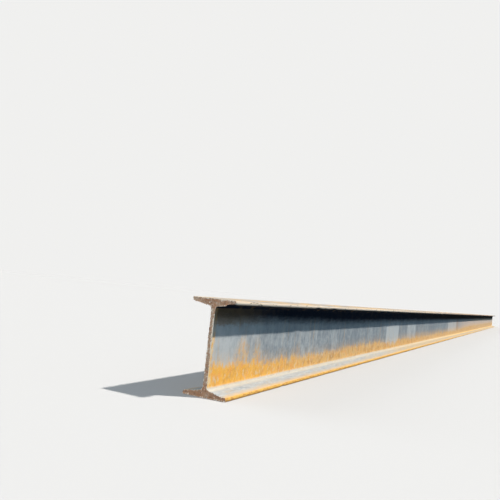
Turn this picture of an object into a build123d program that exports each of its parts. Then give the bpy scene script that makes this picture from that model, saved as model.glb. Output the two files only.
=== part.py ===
from build123d import *
import os

# A hot-rolled steel I-beam with tapered flanges, sawn square to its stock length.
# It lies along X with its web upright, resting on its bottom flange. The origin is
# on the underside, at the middle of the length and the width. Sizes are millimetres.

# The rolled section
depth = 200.0
flange_width = 102.0
web_thickness = 9.0
flange_mean_thickness = 11.4
flange_slope = 1 / 6
root_radius = 9.0
tip_radius = 4.5
outer_corner_radius = 1.5

# The stock length
length = 10000.0

# The inside of each flange slopes, so the flange has its named mean thickness at
# the middle of its overhang, is thinner at the tip and thicker where it meets the web
overhang = (flange_width - web_thickness) / 2
half_taper = flange_slope * overhang / 2
tip_thickness = flange_mean_thickness - half_taper
root_thickness = flange_mean_thickness + half_taper

# The plane of one sawn end: origin at mid-depth, local x to the side, local y up
end_plane = Plane(origin=(-length / 2, 0, depth / 2), x_dir=(0, 1, 0), z_dir=(1, 0, 0))

with BuildPart() as i_beam:
    with BuildSketch(end_plane):
        # One quarter of the section: up the web's side from its middle, round the
        # root, down the slope to the rounded tip, and across the flat outer face
        with BuildLine():
            rolled_outline = FilletPolyline(
                (web_thickness / 2, 0),
                (web_thickness / 2, depth / 2 - root_thickness),
                (flange_width / 2, depth / 2 - tip_thickness),
                (flange_width / 2, depth / 2),
                (0, depth / 2),
                radius=[root_radius, tip_radius, outer_corner_radius],
            )
            Polyline(rolled_outline @ 1, (0, 0), rolled_outline @ 0)
        make_face()
        # The other three quarters mirror it, side to side and then top to bottom
        mirror(about=Plane.YZ)
        mirror(about=Plane.XZ)
    extrude(amount=length)

i_beam.part.label = "i_beam"

os.makedirs("parts", exist_ok=True)
export_step(i_beam.part, "parts/i_beam.step")
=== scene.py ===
"""A weathered, tapered-flange steel I-beam on a pale studio floor.

The beam lies along X on its bottom flange. Lengths are metres. Its near end is at
the lowest X, and the side that the camera sees faces -Y.
"""
import math
import random
from collections import namedtuple

import bpy
import numpy as np
from mathutils import Matrix, Vector, noise
from mathutils.geometry import delaunay_2d_cdt


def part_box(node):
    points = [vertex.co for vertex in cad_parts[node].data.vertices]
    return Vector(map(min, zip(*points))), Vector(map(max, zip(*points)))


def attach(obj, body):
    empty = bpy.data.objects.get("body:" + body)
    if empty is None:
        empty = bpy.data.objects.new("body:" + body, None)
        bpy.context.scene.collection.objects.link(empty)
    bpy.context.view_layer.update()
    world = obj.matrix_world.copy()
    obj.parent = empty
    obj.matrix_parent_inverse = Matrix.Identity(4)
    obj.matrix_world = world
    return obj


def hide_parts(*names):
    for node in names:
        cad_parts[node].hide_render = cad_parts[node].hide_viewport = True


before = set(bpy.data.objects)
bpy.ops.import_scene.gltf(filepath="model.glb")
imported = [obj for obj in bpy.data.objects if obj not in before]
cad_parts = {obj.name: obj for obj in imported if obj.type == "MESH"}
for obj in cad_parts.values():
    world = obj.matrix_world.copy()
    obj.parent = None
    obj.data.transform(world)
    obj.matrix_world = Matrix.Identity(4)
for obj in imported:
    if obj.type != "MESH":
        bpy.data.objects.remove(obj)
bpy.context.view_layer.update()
LOW, HIGH = (Vector(corner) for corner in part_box("i_beam"))
LENGTH, WIDTH, DEPTH = HIGH - LOW
TIP = WIDTH / 2

# Shapes and marks are laid out by an x of their own, in which the near end is at NEAR_END.
# LAYOUT_X added to it gives the frame's x
NEAR_END = -4.5
FAR_END = NEAR_END + LENGTH
LAYOUT_X = LOW.x - NEAR_END

# The rolled section
WEB = 0.009
FLANGE_MEAN = 0.0114
FLANGE_SLOPE = 1 / 6
ROOT_RADIUS = 0.009
TIP_RADIUS = 0.0045
CORNER_RADIUS = 0.0015
OVERHANG = (WIDTH - WEB) / 2
# From a flange's outer face to the middle of its tip
TIP_MIDDLE = 0.0038

# The photograph's view, worked out from the section and the long edges
PICTURE_SIDE = 500
FOCAL_PIXELS = 556.6
SENSOR = 36.0
CLIP_NEAR, CLIP_FAR = 0.01, 300
CAMERA_FROM_NEAR_END = Vector((-0.9858, -0.5695, 0.2294))
CAMERA_HEADING = math.radians(26.93)
CAMERA_LIFT = math.radians(3.863)
CAMERA_ROLL = math.radians(6.133)

# The studio. Each lamp has the direction towards it, its strength, colour and softness in degrees
Lamp = namedtuple("Lamp", "name towards strength colour softness")
LAMPS = (
    Lamp("key", Vector((0.404, -0.488, 0.773)), 5.4, (1.0, 0.97, 0.92), 2.0),
    Lamp("left_fill", Vector((-0.15, 0.8, 0.55)), 0.8, (0.9, 0.95, 1.0), 40.0),
    Lamp("front_fill", Vector((-0.8, -0.1, 0.55)), 1.3, (1.0, 0.92, 0.82), 40.0),
)
LAMP_DISTANCE = 5
SKY = (0.19, 0.28, 0.36)
FLOOR = (0.465, 0.455, 0.45)
STUDIO_RADIUS = 120.0
STUDIO_SPOKES = 96
# The floor's lit surface gives way to a glow of the same tone between these distances
FLOOR_FADE = (7.0, 16.0)
MOST_GLOW = 0.998

# Wear of the flange tips, which reaches this far in from them: a slow wave, and knocks,
# which also draw the tip's corners together by a share of their height
TIP_WEAR_REACH = 0.012
WAVE, WAVE_LENGTH = 0.0006, 0.35
KNOCK_PINCH = 0.3
# A knock has the sign of its tip's y, whether it is on the top flange, and its reach along
# the beam. The first two are where the photograph shows one
Knock = namedtuple("Knock", "x side top reach depth")
SEEN_KNOCKS = (Knock(-3.86, -1, True, 0.025, 0.0012), Knock(-4.21, -1, False, 0.012, 0.0011))
GUESSED_KNOCKS = 16

# Wear at the sawn ends: a burr towards the channels, a slight loss round the rest of the rim,
# and low swells and ridges in the cut
SAW_REACH = 0.02
BURR = 0.0016
BURR_REACH = 0.004
BURR_GRAIN, FINE_BURR_GRAIN = 0.007, 0.0025
BURR_FROM_TIP, BURR_FROM_FACE = 0.003, 0.004
RIM_LOSS = 0.0004
END_RELIEF = 0.0008
# Between these two distances from the web's middle the near end's torn edge has its step
STEP_FROM, STEP_TO = 0.0300, 0.0312
# What the saw and handling have done to the near end: the stretch of the outline by its y
# and z, how far it has moved down, or up where that is negative, and how far along the beam
Torn = namedtuple("Torn", "inner outer low high drop reach")
NEAR_END_DAMAGE = (
    Torn(-0.052, -0.0306, 0.186, 0.1965, -0.0027, 0.009),
    Torn(-0.0306, -0.012, 0.180, 0.1905, 0.0012, 0.005),
    Torn(-0.047, -0.028, 0.0045, 0.014, 0.0018, 0.011),
)

# The flat map has the rolled surface in rows, which take this share of its width
MAP_ROWS = 3
MAP_ACROSS = 0.9
MAP_MARGIN = 0.006

# Finishes
STEEL = (0.225, 0.250, 0.270, 1)
PALE_STEEL = (0.465, 0.482, 0.482, 1)
# Painted shade below the top flange: near-black, warmer far off
PAINTED_SHADE_DARK = (0.004, 0.008, 0.019, 1)
PAINTED_SHADE_WARM = (0.009, 0.006, 0.005, 1)
# Brown for patches on the top tips, and mixed into the painted shade by the near end and far off
BROWN_PATCH_AND_SHADE = (0.100, 0.060, 0.028, 1)
BROWN_DIRT = (0.300, 0.205, 0.130, 1)
RUST = (0.78, 0.40, 0.065, 1)
DUSTY_RUST = (0.575, 0.365, 0.155, 1)
EMBER_RUST = (0.72, 0.30, 0.10, 1)
DEEP_RUST = (0.36, 0.16, 0.05, 1)
CREAM = (0.60, 0.50, 0.34, 1)
TAN_FILM = (0.60, 0.475, 0.39, 1)
LEDGE_SILVER = (0.325, 0.345, 0.355, 1)
LEDGE_PEACH = (0.415, 0.322, 0.20, 1)
ROOT_SAND = (0.67, 0.44, 0.14, 1)
TIP_ORANGE = (0.60, 0.35, 0.085, 1)
TIP_SAND = (0.60, 0.44, 0.22, 1)
TIP_CREAM = (0.76, 0.62, 0.48, 1)
TIP_DULL = (0.27, 0.15, 0.10, 1)
SAWN_GREY = (0.66, 0.48, 0.345, 1)
SAWN_BROWN = (0.53, 0.26, 0.135, 1)
SAWN_DARK = (0.14, 0.062, 0.036, 1)
SAWN_PALE = (0.97, 0.85, 0.70, 1)

# The marks of the saw's blade: its middle, and how far apart they are
SAW_MIDDLE = (0.0, -0.45, 0.75)
SAW_PITCH = 0.0016
# How high the rust has climbed the web near the camera
RUST_HEIGHT = 0.054
# Taller flames of rust on the web: x, height above the rest, half width
RUST_PEAKS = ((-4.357, 0.056, 0.050), (-4.279, 0.050, 0.042), (-4.014, 0.028, 0.036))
# Stretches of the web that are paler: from x, to x, how much
PALE_PANELS = ((-2.93, -2.66, 1.05), (-2.44, -2.19, 0.62), (-0.75, -0.16, 0.84))


class Graph:
    """A node material, with short calls for the nodes that the finishes are made of."""

    def __init__(self, name):
        self.material = bpy.data.materials.new(name)
        self.material.use_nodes = True
        self.tree = self.material.node_tree
        self.shader = self.tree.nodes["Principled BSDF"]
        self.output = self.tree.nodes["Material Output"]
        coordinates = self.add("ShaderNodeTexCoord")
        self.place = self.vector("SUBTRACT", coordinates.outputs["Object"], (LAYOUT_X, 0, 0))
        self.normal = coordinates.outputs["Normal"]

    def link(self, source, socket):
        self.tree.links.new(source, socket)

    def add(self, kind, properties=(), **inputs):
        """A node with its properties set, and each input set to a value or linked to an output."""
        node = self.tree.nodes.new(kind)
        for name, value in dict(properties).items():
            setattr(node, name, value)
        for name, value in inputs.items():
            self.put(node.inputs[name], value)
        return node

    def put(self, socket, value):
        if isinstance(value, bpy.types.NodeSocket):
            self.link(value, socket)
        else:
            socket.default_value = value

    def split(self, vector):
        return self.add("ShaderNodeSeparateXYZ", Vector=vector).outputs[:3]

    def maths(self, operation, *values):
        node = self.add("ShaderNodeMath", {"operation": operation})
        for socket, value in zip(node.inputs, values):
            self.put(socket, value)
        return node.outputs[0]

    def plus(self, *values):
        total = values[0]
        for value in values[1:]:
            total = self.maths("ADD", total, value)
        return total

    def times(self, *values):
        product = values[0]
        for value in values[1:]:
            product = self.maths("MULTIPLY", product, value)
        return product

    def vector(self, operation, *values):
        node = self.add("ShaderNodeVectorMath", {"operation": operation})
        for socket, value in zip(node.inputs, values):
            self.put(socket, value)
        return node.outputs["Value" if operation == "LENGTH" else "Vector"]

    def ramp(self, value, low, high, start=0.0, stop=1.0):
        """From start to stop, smoothly, as value goes from low to high. Low may be the larger."""
        if low > high:
            low, high, start, stop = high, low, stop, start
        ends = {"From Min": low, "From Max": high, "To Min": start, "To Max": stop}
        smoothly = {"interpolation_type": "SMOOTHSTEP"}
        return self.add("ShaderNodeMapRange", smoothly, Value=value, **ends).outputs["Result"]

    def noise(self, grain, detail=2.0, roughness=0.5, seed=0.0):
        """Noise about 0.5 whose grains are grain = (x, y, z) metres long."""
        stretched = self.vector("MULTIPLY", self.place, tuple(1 / g for g in grain))
        shifted = self.vector("ADD", stretched, (seed, seed * 1.7, seed * 2.3))
        inputs = {"Vector": shifted, "Scale": 1.0, "Detail": detail, "Roughness": roughness}
        return self.add("ShaderNodeTexNoise", **inputs).outputs["Fac"]

    def sway(self, amount, grain, **options):
        """Noise about zero, mostly within half the amount either way."""
        return self.times(self.maths("SUBTRACT", self.noise(grain, **options), 0.5), 2 * amount)

    def mix_node(self, data_type, inputs, *values):
        node = self.add("ShaderNodeMix", {"data_type": data_type, "clamp_factor": True})
        for number, value in zip(inputs, values):
            self.put(node.inputs[number], value)
        return node

    def mix(self, amount, below, above):
        """The colour below, covered by the one above as much as the amount says."""
        return self.mix_node("RGBA", (0, 6, 7), amount, below, above).outputs[2]

    def blend(self, amount, below, above):
        """As mix, for numbers."""
        return self.mix_node("FLOAT", (0, 2, 3), amount, below, above).outputs[0]

    def between(self, value, low, high, edge):
        """One between low and high, and zero outside."""
        rise = self.ramp(value, low - edge, low + edge)
        fall = self.ramp(value, high + edge, high - edge)
        return self.times(rise, fall)


def make_camera():
    """The photograph's camera, placed from the near end's middle at the floor."""
    data = bpy.data.cameras.new("camera")
    data.sensor_width = SENSOR
    data.lens = SENSOR * FOCAL_PIXELS / PICTURE_SIDE
    data.clip_start = CLIP_NEAR
    data.clip_end = CLIP_FAR
    camera = bpy.data.objects.new("camera", data)
    bpy.context.collection.objects.link(camera)
    # Level and looking along +X, then lifted, then turned to its heading
    level = Matrix.Rotation(-math.pi / 2, 4, "Z") @ Matrix.Rotation(math.pi / 2, 4, "X")
    turn = Matrix.Rotation(CAMERA_HEADING, 4, "Z") @ Matrix.Rotation(-CAMERA_LIFT, 4, "Y")
    roll = Matrix.Rotation(CAMERA_ROLL, 4, "Z")
    place = Vector((LOW.x, 0, LOW.z)) + CAMERA_FROM_NEAR_END
    camera.matrix_world = Matrix.Translation(place) @ turn @ level @ roll
    bpy.context.scene.camera = camera


def make_light(lamp):
    """A sun that shines from the lamp's direction."""
    data = bpy.data.lights.new(lamp.name, "SUN")
    data.energy = lamp.strength
    data.color = lamp.colour
    data.angle = math.radians(lamp.softness)
    light = bpy.data.objects.new(lamp.name, data)
    bpy.context.collection.objects.link(light)
    light.rotation_mode = "QUATERNION"
    light.rotation_quaternion = lamp.towards.to_track_quat("Z", "Y")
    light.location = lamp.towards * LAMP_DISTANCE


def make_world():
    world = bpy.data.worlds.new("studio")
    bpy.context.scene.world = world
    world.use_nodes = True
    world.node_tree.nodes["Background"].inputs["Color"].default_value = (*SKY, 1)


def lit_floor_tone():
    """The light of the open floor, which the backdrop repeats so that no horizon shows."""
    tone = []
    for band in range(3):
        falls = [lamp.strength * lamp.colour[band] * lamp.towards.normalized().z for lamp in LAMPS]
        tone.append(FLOOR[band] * (SKY[band] + sum(falls) / math.pi))
    return (*tone, 1)


def studio_material(name):
    """Matt near the middle, fading to a glow of its own tone, and shaded as level everywhere."""
    graph = Graph(name)
    up = graph.add("ShaderNodeCombineXYZ", Z=1.0).outputs[0]
    matt = graph.add("ShaderNodeBsdfDiffuse", Color=(*FLOOR, 1), Normal=up).outputs[0]
    glow = graph.add("ShaderNodeEmission", Color=lit_floor_tone()).outputs[0]
    away = graph.vector("LENGTH", graph.place)
    fading = graph.add("ShaderNodeMixShader", Fac=graph.ramp(away, *FLOOR_FADE, 0.0, MOST_GLOW))
    graph.link(matt, fading.inputs[1])
    graph.link(glow, fading.inputs[2])
    graph.link(fading.outputs[0], graph.output.inputs["Surface"])
    return graph.material


def ring_faces(rings, count):
    """The four-sided faces between closed rings of points, each of which has count points."""
    faces = []
    for first in range(0, (rings - 1) * count, count):
        for k in range(count):
            a, b = first + k, first + (k + 1) % count
            faces.append((a, b, b + count, a + count))
    return faces


def make_stage(name, rings):
    """A surface through rings of (radius, height) about the beam's middle, which lights nothing."""
    spokes = [2 * math.pi * k / STUDIO_SPOKES for k in range(STUDIO_SPOKES)]
    points = [(r * math.cos(a), r * math.sin(a), LOW.z + h) for r, h in rings for a in spokes]
    mesh = bpy.data.meshes.new(name)
    mesh.from_pydata(points, [], ring_faces(len(rings), STUDIO_SPOKES))
    mesh.materials.append(studio_material(name))
    stage = bpy.data.objects.new(name, mesh)
    bpy.context.collection.objects.link(stage)
    stage.visible_diffuse = False
    stage.visible_glossy = False
    stage.visible_shadow = False


def make_studio():
    bpy.context.scene.view_settings.view_transform = "Standard"
    make_world()
    for lamp in LAMPS:
        make_light(lamp)
    # The floor runs on past the backdrop's foot, which starts just below it
    make_stage("studio_floor", [(0.001, 0), (20, 0), (STUDIO_RADIUS + 10, 0)])
    rises = [math.radians(degrees) for degrees in range(-2, 90, 4)]
    dome = [(STUDIO_RADIUS * math.cos(a), STUDIO_RADIUS * math.sin(a)) for a in rises]
    make_stage("studio_backdrop", dome)


def smooth(value, low, high):
    """Zero at low, one at high, and smooth between them."""
    part = min(1.0, max(0.0, (value - low) / (high - low)))
    return part * part * (3 - 2 * part)


def rounded_run(points, radii, arc_steps, longest):
    """The polyline through points, its corners rounded and its straight runs divided."""
    corners = [Vector(p) for p in points]
    run = [corners[0]]
    for before, corner, after, radius in zip(corners, corners[1:], corners[2:], radii):
        if radius == 0:
            run.append(corner)
            continue
        to_before = (before - corner).normalized()
        to_after = (after - corner).normalized()
        half = to_before.angle(to_after) / 2
        centre = corner + (to_before + to_after).normalized() * (radius / math.sin(half))
        first = corner + to_before * (radius / math.tan(half)) - centre
        last = corner + to_after * (radius / math.tan(half)) - centre
        turn = math.atan2(first.x * last.y - first.y * last.x, first.dot(last))
        for k in range(arc_steps + 1):
            run.append(centre + Matrix.Rotation(turn * k / arc_steps, 2) @ first)
    run.append(corners[-1])
    divided = [run[0]]
    for start, stop in zip(run, run[1:]):
        parts = max(1, math.ceil((stop - start).length / longest))
        divided += [start.lerp(stop, k / parts) for k in range(1, parts + 1)]
    return divided


def section_outline():
    """The section as a closed loop of (y, z), from the middle of the web's +Y side upward."""
    half_taper = FLANGE_SLOPE * OVERHANG / 2
    half = DEPTH / 2
    root = Vector((WEB / 2, half - FLANGE_MEAN - half_taper))
    end = Vector((TIP, half - FLANGE_MEAN + half_taper))
    # Two close points on the slope, where the near end's torn edge has its step
    step = [root.lerp(end, (y - root.x) / (end.x - root.x)) for y in (STEP_FROM, STEP_TO)]
    quarter = rounded_run(
        [(WEB / 2, 0), root, *step, end, (TIP, half), (0, half)],
        [ROOT_RADIUS, 0, 0, TIP_RADIUS, CORNER_RADIUS],
        arc_steps=6,
        longest=0.008,
    )
    loop = []
    for side, up in ((1, 1), (-1, 1), (-1, -1), (1, -1)):
        part = [Vector((side * p.x, up * p.y + half)) for p in quarter]
        part = part if side * up > 0 else part[::-1]
        loop += part[:-1]
    return loop


def inside_section(y, z, margin):
    """True where (y, z) lies inside the steel by at least the margin."""
    y, rise = abs(y), DEPTH / 2 - abs(z - DEPTH / 2)
    thick = FLANGE_MEAN + FLANGE_SLOPE * (OVERHANG / 2 - (y - WEB / 2))
    in_web = y < WEB / 2 - margin
    in_flange = margin < rise < thick - margin and y < TIP - margin
    return in_flange or (in_web and rise > margin)


def make_knocks():
    """Dents in the flange tips, most of them towards the near end."""
    draw = random.Random(4)
    knocks = list(SEEN_KNOCKS)
    clear, crowding = 0.05, 1.6
    for _ in range(GUESSED_KNOCKS):
        x = NEAR_END + clear + (LENGTH - 2 * clear) * draw.random() ** crowding
        side = draw.choice((-1, 1))
        top = draw.random() < 0.5
        reach = draw.uniform(0.006, 0.022)
        depth = draw.uniform(0.0007, 0.0024)
        knocks.append(Knock(x, side, top, reach, depth))
    return knocks


def stations(knocks, finest=0.0015, coarsest=0.06, growth=1.08):
    """Places along the beam, closer at ends and knocks, with one where each map row begins."""
    places, step = [0.0], finest
    while places[-1] + step < LENGTH / 2:
        places.append(places[-1] + step)
        step = min(step * growth, coarsest)
    every = {NEAR_END + p for p in places} | {FAR_END - p for p in places}
    every |= {NEAR_END + LENGTH * k / MAP_ROWS for k in range(1, MAP_ROWS)}
    # Eleven places over each knock, out to where it has faded
    for knock in knocks:
        every |= {knock.x + knock.reach * k * 0.45 for k in range(-5, 6)}
    kept = []
    for place in sorted(every):
        if not kept or place - kept[-1] > finest / 2:
            kept.append(place)
    return kept


def worn_tip(x, y, z, knocks):
    """A point by a flange tip, moved inward by the rolls' slow wave and by the knocks."""
    edge = smooth(abs(y), TIP - TIP_WEAR_REACH, TIP)
    side = math.copysign(1, y)
    top = z > DEPTH / 2
    wave = noise.noise((x / WAVE_LENGTH, 7 * side, 5 * top))
    inward = WAVE * (0.5 + 0.5 * wave)
    middle = DEPTH - TIP_MIDDLE if top else TIP_MIDDLE
    for knock in knocks:
        if knock.side == side and knock.top == top:
            fall = math.exp(-(((x - knock.x) / knock.reach) ** 2))
            inward += knock.depth * fall
            z += (middle - z) * KNOCK_PINCH * fall * edge
    return y - side * inward * edge, z


def sawn_edge(x, y, z, outward):
    """A point close to a sawn end, moved by what the saw did to the rim and by other damage."""
    from_end = min(x - NEAR_END, FAR_END - x)
    fall = max(0.0, 1 - from_end / BURR_REACH) ** 2
    ragged = noise.noise((y / BURR_GRAIN, z / BURR_GRAIN, x))
    ragged += 0.5 * noise.noise((y / FINE_BURR_GRAIN, z / FINE_BURR_GRAIN, x))
    from_face = DEPTH / 2 - abs(z - DEPTH / 2)
    in_channel = abs(y) < TIP - BURR_FROM_TIP and from_face > BURR_FROM_FACE
    push = BURR * max(0.0, ragged) if in_channel else -RIM_LOSS * abs(ragged)
    y += outward.x * push * fall
    z += outward.y * push * fall
    if x < NEAR_END + SAW_REACH:
        for torn in NEAR_END_DAMAGE:
            if torn.inner < y < torn.outer and torn.low < z < torn.high:
                along = max(0.0, 1 - (x - NEAR_END) / torn.reach)
                z -= torn.drop * along * (0.8 + 0.3 * ragged)
    return y, z


def side_points(loop, places, knocks):
    """The rolled surface: the outline at each place, worn."""
    count = len(loop)
    outward = []
    for k in range(count):
        along = loop[(k + 1) % count] - loop[k - 1]
        outward.append(Vector((along.y, -along.x)).normalized())
    points = []
    for x in places:
        near_saw = min(x - NEAR_END, FAR_END - x) < SAW_REACH
        for p, away in zip(loop, outward):
            y, z = p
            if abs(y) > TIP - TIP_WEAR_REACH:
                y, z = worn_tip(x, y, z, knocks)
            if near_saw:
                y, z = sawn_edge(x, y, z, away)
            points.append((LAYOUT_X + x, y, LOW.z + z))
    return points


def end_surface(loop):
    """The section filled with small triangles: the points inside it, and the triangles' corners."""
    spacing, margin = 0.002, 0.0012
    grid = [
        Vector((y, z))
        for y in np.arange(spacing / 2 - TIP, TIP, spacing)
        for z in np.arange(spacing / 2, DEPTH, spacing)
        if inside_section(y, z, margin)
    ]
    count = len(loop)
    edges = [(k, (k + 1) % count) for k in range(count)]
    filled, _, triangles, *_ = delaunay_2d_cdt(loop + grid, edges, [list(range(count))], 1, 1e-6)
    return filled[count:], triangles


def end_relief(y, z, x):
    """How far the saw has cut below the end's flat, in broad low swells and ridges."""
    swell = noise.noise((y / 0.02, z / 0.02, x))
    ridge = noise.noise((y / 0.03, (z + 0.2 * y) / 0.008, x + 3))
    return END_RELIEF * min(1.0, max(0.0, 0.45 + 0.5 * swell + 0.3 * ridge))


def heights_round(loop):
    """How far round the outline each point is, of one, with the narrow tips counted twice."""
    tip_from = TIP - 0.005
    heights = [0.0]
    for start, stop in zip(loop, loop[1:] + loop[:1]):
        times = 2 if min(abs(start.x), abs(stop.x)) > tip_from else 1
        heights.append(heights[-1] + times * (stop - start).length)
    return np.array(heights) / heights[-1]


def flat_map(mesh, loop, places, side_faces):
    """Lays the rolled surface out in rows along the beam, with the two ends beside them."""
    count = len(loop)
    heights = heights_round(loop)
    places = np.array(places)
    middles = (places[1:] + places[:-1]) / 2
    row = np.clip(((middles - NEAR_END) / LENGTH * MAP_ROWS).astype(int), 0, MAP_ROWS - 1)
    run = LENGTH / MAP_ROWS
    row_height = (1 - 2 * MAP_MARGIN * MAP_ROWS) / MAP_ROWS
    row_foot = (row * row_height + MAP_MARGIN * (1 + 2 * row))[:, None]
    flat = np.zeros((len(mesh.loops), 2))
    sides = flat[: side_faces * 4].reshape(len(middles), count, 4, 2)
    for corner, (step, turn) in enumerate(((0, 0), (0, 1), (1, 1), (1, 0))):
        along = (places[step: step + len(middles)] - NEAR_END - row * run) / run
        up = heights[turn: turn + count]
        sides[:, :, corner, 0] = (MAP_MARGIN + along * (MAP_ACROSS - 2 * MAP_MARGIN))[:, None]
        sides[:, :, corner, 1] = row_foot + up[None, :] * row_height
    ends = flat[side_faces * 4:]
    corners = np.array([mesh.vertices[k.vertex_index].co for k in mesh.loops[side_faces * 4:]])
    far = corners[:, 0] > 0
    end_width = 1 - MAP_ACROSS - 2 * MAP_MARGIN
    end_height = 0.5 - 2 * MAP_MARGIN
    ends[:, 0] = MAP_ACROSS + MAP_MARGIN + (corners[:, 1] / WIDTH + 0.5) * end_width
    ends[:, 1] = MAP_MARGIN + far * 0.5 + (corners[:, 2] - LOW.z) / DEPTH * end_height
    layer = mesh.uv_layers.new(name="OFBake")
    layer.data.foreach_set("uv", flat.astype(np.float32).ravel())


def beam_mesh():
    """The rolled surface and both sawn ends as one closed mesh."""
    loop = section_outline()
    knocks = make_knocks()
    places = stations(knocks)
    count = len(loop)
    last = (len(places) - 1) * count
    points = side_points(loop, places, knocks)
    faces = ring_faces(len(places), count)
    side_faces = len(faces)
    inner, triangles = end_surface(loop)
    for x, first, inward in ((NEAR_END, 0, 1), (FAR_END, last, -1)):
        base = len(points)
        end = LAYOUT_X + x
        points += [(end + inward * end_relief(p.x, p.y, x), p.x, LOW.z + p.y) for p in inner]
        for triangle in triangles:
            corners = [first + k if k < count else base + k - count for k in triangle]
            faces.append(tuple(corners[::-inward]))
    mesh = bpy.data.meshes.new("weathered_beam")
    mesh.from_pydata(points, [], faces)
    mesh.update()
    mesh.shade_smooth()
    for polygon in mesh.polygons[side_faces:]:
        polygon.material_index = 1
    for edge in mesh.edges:
        low, high = sorted(edge.vertices)
        edge.use_edge_sharp = high < count or (low >= last and high < last + count)
    flat_map(mesh, loop, places, side_faces)
    # One on the rolled surface and so round each sawn end's rim, and zero inside the ends
    rim = mesh.attributes.new("rim", "FLOAT", "POINT")
    rim.data.foreach_set("value", [1.0 if k < last + count else 0.0 for k in range(len(points))])
    return mesh


def camera_side(graph, y):
    """One on the side of the web that the camera sees, and zero on the other."""
    return graph.ramp(y, 0.001, -0.001)


def bare_scale(graph, x, y, z):
    """Blue-grey scale with pale streaks, paler by the near end and in panels."""
    streaks = graph.plus(
        graph.sway(0.70, (0.10, 0.006, 0.25), detail=4.0, roughness=0.6),
        graph.sway(0.45, (0.007, 0.006, 0.06), detail=5.0, roughness=0.65, seed=3.1),
        graph.sway(0.80, (0.011, 0.006, 0.013), detail=6.0, roughness=0.7, seed=8.3),
        graph.sway(0.60, (0.035, 0.006, 0.040), detail=4.0, seed=8.9),
    )
    tone = graph.plus(
        graph.ramp(x, -3.4, -4.0, 0.0, 0.10),
        graph.ramp(x, -2.1, -2.6, 0.045, 0.165),
        graph.times(streaks, graph.ramp(z, 0.135, 0.118, 0.55, 1.0)),
        graph.ramp(x, NEAR_END + 0.42, NEAR_END + 0.05, 0.0, 0.52),
    )
    panels = graph.plus(*[
        graph.times(graph.between(x, start, stop, 0.006), much)
        for start, stop, much in PALE_PANELS
    ])
    lit = graph.ramp(z, 0.128, 0.120, 0.25, 1.0)
    tone = graph.plus(tone, graph.times(panels, lit, camera_side(graph, y)))
    return graph.mix(tone, STEEL, PALE_STEEL)


def dusted(graph, colour, x, y, z):
    """The web's colour under a tan film, thin rusty runs and one stripe, with painted warm light in
    the shade far off.
    """
    film = graph.plus(graph.ramp(x, -1.2, 1.2), graph.sway(0.25, (0.4, 0.006, 0.2), seed=5.0))
    # Painted shade in part: above z 0.130, in the top flange's shade, the film is a quarter as
    # strong as below z 0.118
    film = graph.times(film, graph.ramp(z, 0.130, 0.118, 0.25, 1.0))
    colour = graph.mix(film, colour, TAN_FILM)
    # Painted warm bounce light: dusty rust mixed in from z 0.118 up, in the top flange's shade, far
    # off
    tint = graph.times(graph.ramp(x, 0.2, 2.2, 0.0, 0.55), graph.ramp(z, 0.118, 0.130))
    colour = graph.mix(tint, colour, DUSTY_RUST)
    runs = graph.noise((0.008, 0.006, 0.15), detail=4.0, seed=12.0)
    colour = graph.mix(graph.ramp(runs, 0.58, 0.72, 0.0, 0.40), colour, DUSTY_RUST)
    stripe = graph.times(graph.between(x, -0.16, -0.01, 0.008), camera_side(graph, y), 0.3)
    return graph.mix(stripe, colour, DEEP_RUST)


def dark_top(graph, colour, x, z):
    """The web's colour under brown dirt by the near end and painted shade below the top flange."""
    speckle = graph.sway(0.022, (0.014, 0.006, 0.006), detail=6.0, roughness=0.7, seed=38.0)
    dirt = graph.ramp(graph.plus(z, speckle), 0.140, 0.152)
    dirt = graph.times(dirt, graph.ramp(x, NEAR_END + 0.36, NEAR_END + 0.04, 0.0, 0.62))
    colour = graph.mix(dirt, colour, BROWN_DIRT)
    # Painted shade where the top flange shades the web: near-black, warmer far off, and browner by
    # the near end and far off
    brown = graph.plus(
        graph.ramp(x, NEAR_END + 0.34, NEAR_END + 0.04),
        graph.ramp(x, 0.5, 3.5, 0.0, 0.3),
        graph.sway(0.6, (0.03, 0.006, 0.02), detail=5.0, roughness=0.65, seed=33.0),
    )
    dark = graph.mix(graph.ramp(x, -3.2, -0.6), PAINTED_SHADE_DARK, PAINTED_SHADE_WARM)
    dark = graph.mix(brown, dark, BROWN_PATCH_AND_SHADE)
    # The painted shade's lower edge: ragged, from about z 0.134, and lower away from the near end
    ragged = graph.plus(
        z,
        graph.sway(0.013, (0.05, 0.006, 0.012), detail=7.0, roughness=0.72, seed=2.0),
        graph.ramp(x, NEAR_END + 0.1, NEAR_END + 1.0, -0.005, 0.007),
        graph.ramp(x, -2.6, 0.3, 0.0, 0.003),
    )
    full = graph.ramp(ragged, 0.134, 0.168)
    full = graph.times(full, graph.ramp(x, NEAR_END, NEAR_END + 0.4, 0.92, 1.0))
    return graph.mix(full, colour, dark)


def web_colour(graph, x, y, z):
    """The web where it isn't rusty, with painted shade below the top flange and fine pale flecks.
    """
    colour = dusted(graph, bare_scale(graph, x, y, z), x, y, z)
    colour = dark_top(graph, colour, x, z)
    flecks = graph.noise((0.0045, 0.004, 0.0055), detail=2.0, seed=13.0)
    flecks = graph.times(graph.ramp(flecks, 0.65, 0.74), graph.ramp(z, 0.155, 0.125, 0.12, 0.6))
    return graph.mix(flecks, colour, CREAM)


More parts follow.
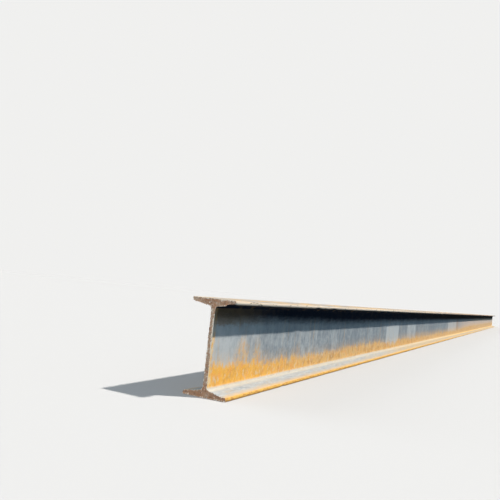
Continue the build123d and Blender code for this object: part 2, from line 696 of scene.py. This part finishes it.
def rust_line(graph, x):
    """How high the rust has climbed the web, in thin flames."""
    return graph.plus(
        RUST_HEIGHT,
        graph.ramp(x, NEAR_END + 0.32, NEAR_END + 0.18, 0.0, 0.010),
        graph.times(graph.between(x, -3.55, -3.05, 0.05), 0.005),
        graph.times(graph.between(x, -2.93, -2.66, 0.02), -0.007),
        graph.ramp(x, -0.4, 1.6, 0.0, 0.023),
        graph.sway(0.022, (0.012, 0.006, 0.10), detail=5.0, roughness=0.65, seed=1.3),
        graph.sway(0.016, (0.045, 0.006, 0.10), detail=3.0, seed=4.7),
        graph.sway(0.030, (0.007, 0.006, 0.012), detail=6.0, roughness=0.75, seed=6.1),
    )


def tall_flames(graph, x):
    """How much higher the rust reaches where it has climbed in tall, half bare flames."""
    flames = []
    for middle, height, half_width in RUST_PEAKS:
        wander = graph.plus(x, graph.sway(0.022, (0.05, 0.006, 0.035), detail=4.0, seed=middle))
        off = graph.maths("ABSOLUTE", graph.maths("SUBTRACT", wander, middle))
        flames.append(graph.ramp(off, half_width, 0.0, 0.0, height))
    return graph.plus(*flames)


def rust_mask(graph, x, z):
    """One where the web's foot is rusty, with a haze above, tall flames, and a strip at the cut."""
    above = graph.maths("SUBTRACT", z, rust_line(graph, x))
    full = graph.ramp(above, 0.015, -0.013)
    haze = graph.times(graph.ramp(above, 0.034, 0.0), graph.ramp(x, -2.9, -2.0, 0.20, 0.50))
    over_flames = graph.maths("SUBTRACT", above, tall_flames(graph, x))
    mottle = graph.noise((0.012, 0.006, 0.018), detail=6.0, roughness=0.7, seed=27.0)
    flames = graph.ramp(over_flames, 0.022, -0.030)
    flames = graph.times(flames, graph.ramp(mottle, 0.38, 0.62, 0.22, 0.70))
    edge = graph.plus(x, graph.sway(0.008, (0.5, 0.006, 0.012), detail=4.0, seed=15.0))
    strip = graph.ramp(edge, NEAR_END + 0.016, NEAR_END + 0.006)
    # Painted shade in part: the strip is 0.85 strong below z 0.118, where the key light falls, and
    # 0.25 in the top flange's shade above z 0.145
    strip = graph.times(strip, graph.ramp(z, 0.145, 0.118, 0.25, 0.85))
    mask = full
    for other in (haze, flames, strip):
        mask = graph.maths("MAXIMUM", mask, other)
    return mask


def rust_colour(graph, x):
    """Bright orange by the near end, dustier further off, mottled, pitted and pale in spots."""
    dusty = graph.plus(
        graph.ramp(x, NEAR_END + 0.1, NEAR_END + 0.8, 0.15, 0.90),
        graph.sway(0.8, (0.022, 0.006, 0.016), detail=6.0, roughness=0.65, seed=24.0),
    )
    colour = graph.mix(dusty, RUST, DUSTY_RUST)
    ember = graph.noise((0.026, 0.006, 0.030), detail=6.0, roughness=0.7, seed=41.0)
    ember = graph.times(graph.ramp(ember, 0.48, 0.66), graph.ramp(x, -2.6, -0.8, 0.55, 0.15))
    colour = graph.mix(ember, colour, EMBER_RUST)
    deep = graph.noise((0.018, 0.006, 0.022), detail=7.0, roughness=0.72, seed=9.0)
    far_off = graph.ramp(x, NEAR_END + 0.2, NEAR_END + 0.7, 0.45, 0.85)
    colour = graph.mix(graph.times(graph.ramp(deep, 0.46, 0.70), far_off), colour, DEEP_RUST)
    pits = graph.noise((0.0022, 0.0022, 0.0022), detail=4.0, roughness=0.7, seed=10.0)
    colour = graph.mix(graph.ramp(pits, 0.50, 0.68, 0.0, 0.40), colour, DEEP_RUST)
    film = graph.plus(graph.ramp(x, -2.4, -1.6, 0.0, 0.11), graph.ramp(x, 1.0, 2.5, 0.0, 0.12))
    colour = graph.mix(film, colour, TAN_FILM)
    pale = graph.noise((0.009, 0.004, 0.014), detail=6.0, roughness=0.7, seed=7.0)
    worn = graph.ramp(x, NEAR_END + 0.016, NEAR_END + 0.003, 0.0, 0.16)
    return graph.mix(graph.ramp(graph.plus(pale, worn), 0.50, 0.70, 0.0, 0.85), colour, CREAM)


def ledge_colour(graph, x, out):
    """The bottom flange's slope: rubbed silver near the camera, dusty peach further off.

    It is sandy along the root and rusty along the tip.
    """
    peach = graph.plus(
        graph.ramp(x, -4.3, -3.2, 0.0, 0.25),
        graph.ramp(x, -3.1, -2.6, 0.0, 0.75),
        graph.sway(1.00, (0.024, 0.010, 1.0), detail=6.0, roughness=0.68),
        graph.sway(0.60, (0.090, 0.016, 1.0), detail=4.0, seed=36.0),
    )
    colour = graph.mix(peach, LEDGE_SILVER, LEDGE_PEACH)
    grime = graph.noise((0.050, 0.012, 1.0), detail=7.0, roughness=0.72, seed=31.0)
    colour = graph.mix(graph.ramp(grime, 0.47, 0.70, 0.0, 0.75), colour, STEEL)
    rubbed = graph.noise((0.030, 0.007, 1.0), detail=6.0, roughness=0.7, seed=37.0)
    colour = graph.mix(graph.ramp(rubbed, 0.50, 0.70, 0.0, 0.70), colour, PALE_STEEL)
    root = graph.times(graph.ramp(out, 0.021, 0.009), graph.ramp(x, -3.2, -0.4, 0.35, 0.60))
    colour = graph.mix(root, colour, graph.mix(graph.ramp(x, -2.2, 0.4), CREAM, ROOT_SAND))
    wander = graph.sway(0.010, (0.016, 0.008, 1.0), detail=5.0, roughness=0.65, seed=3.0)
    edge = graph.ramp(graph.plus(out, wander), 0.030, 0.052)
    edge = graph.times(edge, graph.ramp(x, -2.9, -2.3, 0.80, 0.60))
    colour = graph.mix(edge, colour, DUSTY_RUST)
    spots = graph.noise((0.007, 0.005, 1.0), detail=5.0, roughness=0.7, seed=14.0)
    return graph.mix(graph.ramp(spots, 0.56, 0.72, 0.0, 0.45), colour, DEEP_RUST)


def tip_colour(graph, x, z):
    """The flange tips: rust below with painted shade along its foot, and above cream with brown
    patches, duller further off.
    """
    low = graph.mix(graph.ramp(x, -3.2, 3.0), TIP_ORANGE, TIP_SAND)
    speckle = graph.noise((0.009, 0.006, 0.0035), detail=6.0, roughness=0.72, seed=17.0)
    low = graph.mix(graph.ramp(speckle, 0.45, 0.62, 0.0, 0.85), low, DEEP_RUST)
    # Painted shade along the lower tip's foot, below z 0.0036, where it meets the floor
    low = graph.mix(graph.ramp(z, 0.0036, 0.0012, 0.0, 0.85), low, DEEP_RUST)
    patches = graph.noise((0.025, 0.01, 0.006), detail=4.0, roughness=0.6, seed=11.0)
    high = graph.mix(graph.ramp(x, -3.6, 1.0, 0.0, 0.80), TIP_CREAM, TIP_DULL)
    high = graph.mix(graph.ramp(patches, 0.58, 0.70, 0.0, 0.75), high, BROWN_PATCH_AND_SHADE)
    return graph.mix(graph.ramp(z, 0.09, 0.11), low, high)


def face_colour(graph):
    """The outer faces of the flanges: scale that has gone dusty and rusty in long streaks."""
    patch = graph.noise((0.16, 0.022, 1.0), detail=7.0, roughness=0.68, seed=20.0)
    colour = graph.mix(graph.ramp(patch, 0.36, 0.66), STEEL, DUSTY_RUST)
    pale = graph.noise((0.05, 0.015, 1.0), detail=6.0, roughness=0.7, seed=21.0)
    colour = graph.mix(graph.ramp(pale, 0.48, 0.70, 0.0, 0.5), colour, PALE_STEEL)
    deep = graph.noise((0.014, 0.009, 1.0), detail=6.0, roughness=0.75, seed=22.0)
    return graph.mix(graph.ramp(deep, 0.50, 0.72, 0.0, 0.7), colour, DEEP_RUST)


def rolled_colour(graph, rust, tip):
    """The colour of the rolled surface: web, slope, the top flange's underside, tips and faces."""
    x, y, z = graph.split(graph.place)
    facing_up = graph.split(graph.normal)[2]
    out = graph.maths("ABSOLUTE", y)
    colour = graph.mix(rust, web_colour(graph, x, y, z), rust_colour(graph, x))
    ledge = graph.times(graph.ramp(facing_up, 0.10, 0.60), graph.ramp(z, 0.036, 0.030))
    colour = graph.mix(ledge, colour, ledge_colour(graph, x, out))
    # Painted shade on the top flange's underside: near-black with brown blotches
    under = graph.times(graph.ramp(facing_up, -0.3, -0.7), graph.ramp(z, 0.16, 0.17))
    blotch = graph.ramp(graph.noise((0.03, 0.02, 1.0), detail=4.0, seed=16.0), 0.50, 0.66)
    colour = graph.mix(under, colour, graph.mix(blotch, PAINTED_SHADE_DARK, BROWN_PATCH_AND_SHADE))
    colour = graph.mix(tip, colour, tip_colour(graph, x, z))
    top_face = graph.ramp(z, DEPTH - 0.0012, DEPTH - 0.0004)
    bottom_face = graph.ramp(z, 0.0012, 0.0004)
    return graph.mix(graph.plus(top_face, bottom_face), colour, face_colour(graph))


def rolled_steel():
    """Blue-grey mill scale, rusted from the ledges upward, with painted shade below the top flange
    and a slight sheen where it is bare.
    """
    graph = Graph("rolled_steel")
    x, y, z = graph.split(graph.place)
    rust = rust_mask(graph, x, z)
    tip = graph.ramp(graph.maths("ABSOLUTE", y), TIP - 0.0045, TIP - 0.0015)
    graph.link(rolled_colour(graph, rust, tip), graph.shader.inputs["Base Color"])
    rusty = graph.maths("MAXIMUM", graph.times(rust, graph.ramp(z, 0.13, 0.12)), tip)
    matt = graph.maths("MAXIMUM", rusty, graph.ramp(z, 0.140, 0.160))
    rough = graph.plus(
        graph.blend(matt, 0.50, 0.90),
        graph.sway(0.10, (0.03, 0.01, 0.05), detail=3.0, seed=18.0),
    )
    graph.link(rough, graph.shader.inputs["Roughness"])
    graph.link(graph.blend(matt, 0.25, 0.0), graph.shader.inputs["Metallic"])
    graph.shader.inputs["Specular IOR Level"].default_value = 0.06
    fine = graph.noise((0.0022, 0.0022, 0.0022), detail=3.0)
    fine = graph.times(fine, graph.blend(rusty, 0.0002, 0.0007))
    broad = graph.times(graph.noise((0.03, 0.02, 0.02), detail=3.0, seed=22.0), 0.0012)
    bump = graph.add("ShaderNodeBump", Height=graph.plus(fine, broad), Strength=0.7, Distance=1.0)
    graph.link(bump.outputs[0], graph.shader.inputs["Normal"])
    return graph.material


def saw_arcs(graph):
    """Fine uneven marks round the middle of the saw's big blade, above and to one side."""
    across = graph.vector("MULTIPLY", graph.place, (0, 1, 1))
    from_blade = graph.vector("LENGTH", graph.vector("SUBTRACT", across, SAW_MIDDLE))
    turns = graph.times(from_blade, 1 / SAW_PITCH)
    inputs = {"W": turns, "Scale": 1.0, "Detail": 3.0, "Roughness": 0.6}
    marks = graph.add("ShaderNodeTexNoise", {"noise_dimensions": "1D"}, **inputs).outputs["Fac"]
    patchy = graph.ramp(graph.noise((0.05, 0.010, 0.010), detail=4.0, seed=35.0), 0.35, 0.65)
    return graph.times(marks, patchy)


def sawn_steel():
    """A rough saw cut that has gone brown, with the blade's marks, pits, bare flecks and a painted
    highlight round its rim.
    """
    graph = Graph("sawn_steel")
    _, y, z = graph.split(graph.place)
    cloud = graph.noise((0.05, 0.020, 0.012), detail=7.0, roughness=0.70)
    flange = graph.plus(graph.ramp(z, 0.05, 0.01, 0.0, 0.08), graph.ramp(z, 0.17, 0.19, 0.0, 0.03))
    brown = graph.ramp(graph.plus(cloud, flange), 0.40, 0.62)
    colour = graph.mix(brown, SAWN_GREY, SAWN_BROWN)
    tint = graph.noise((0.05, 0.018, 0.011), detail=7.0, roughness=0.72, seed=30.0)
    colour = graph.mix(graph.ramp(tint, 0.49, 0.64, 0.0, 0.55), colour, SAWN_DARK)
    pits = graph.noise((0.05, 0.0036, 0.0044), detail=6.0, roughness=0.75, seed=5.0)
    colour = graph.mix(graph.ramp(pits, 0.50, 0.68, 0.0, 0.85), colour, SAWN_DARK)
    # Bare metal flecks, and partly a painted highlight: paler round the rim and along the web's -Y
    # edge, where burrs catch the key light
    rim = graph.add("ShaderNodeAttribute", {"attribute_name": "rim"}).outputs["Fac"]
    rubbed = graph.times(
        graph.between(y, -WEB / 2 - 0.0005, -WEB / 2 + 0.0030, 0.0008),
        graph.between(z, 0.088, 0.166, 0.010),
    )
    flecks = graph.noise((0.05, 0.0034, 0.0060), detail=4.0, roughness=0.65, seed=8.0)
    bare = graph.plus(flecks, graph.times(rubbed, 0.15), graph.times(rim, 0.115))
    colour = graph.mix(graph.ramp(bare, 0.58, 0.65), colour, SAWN_PALE)
    arcs = saw_arcs(graph)
    colour = graph.mix(graph.ramp(arcs, 0.55, 0.75, 0.0, 0.3), colour, SAWN_DARK)
    graph.link(colour, graph.shader.inputs["Base Color"])
    rough = graph.plus(0.75, graph.sway(0.12, (0.05, 0.006, 0.004), detail=3.0, seed=9.0))
    graph.link(rough, graph.shader.inputs["Roughness"])
    graph.shader.inputs["Metallic"].default_value = 0.1
    height = graph.plus(graph.times(arcs, 0.0004), graph.times(pits, 0.0005))
    bump = graph.add("ShaderNodeBump", Height=height, Strength=0.8, Distance=1.0)
    graph.link(bump.outputs[0], graph.shader.inputs["Normal"])
    return graph.material


def make_beam():
    """The weathered beam, which stands in for the CAD piece."""
    beam = bpy.data.objects.new("weathered_beam", beam_mesh())
    bpy.context.collection.objects.link(beam)
    beam.data.materials.append(rolled_steel())
    beam.data.materials.append(sawn_steel())
    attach(beam, "root")
    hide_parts("i_beam")


make_camera()
make_studio()
make_beam()
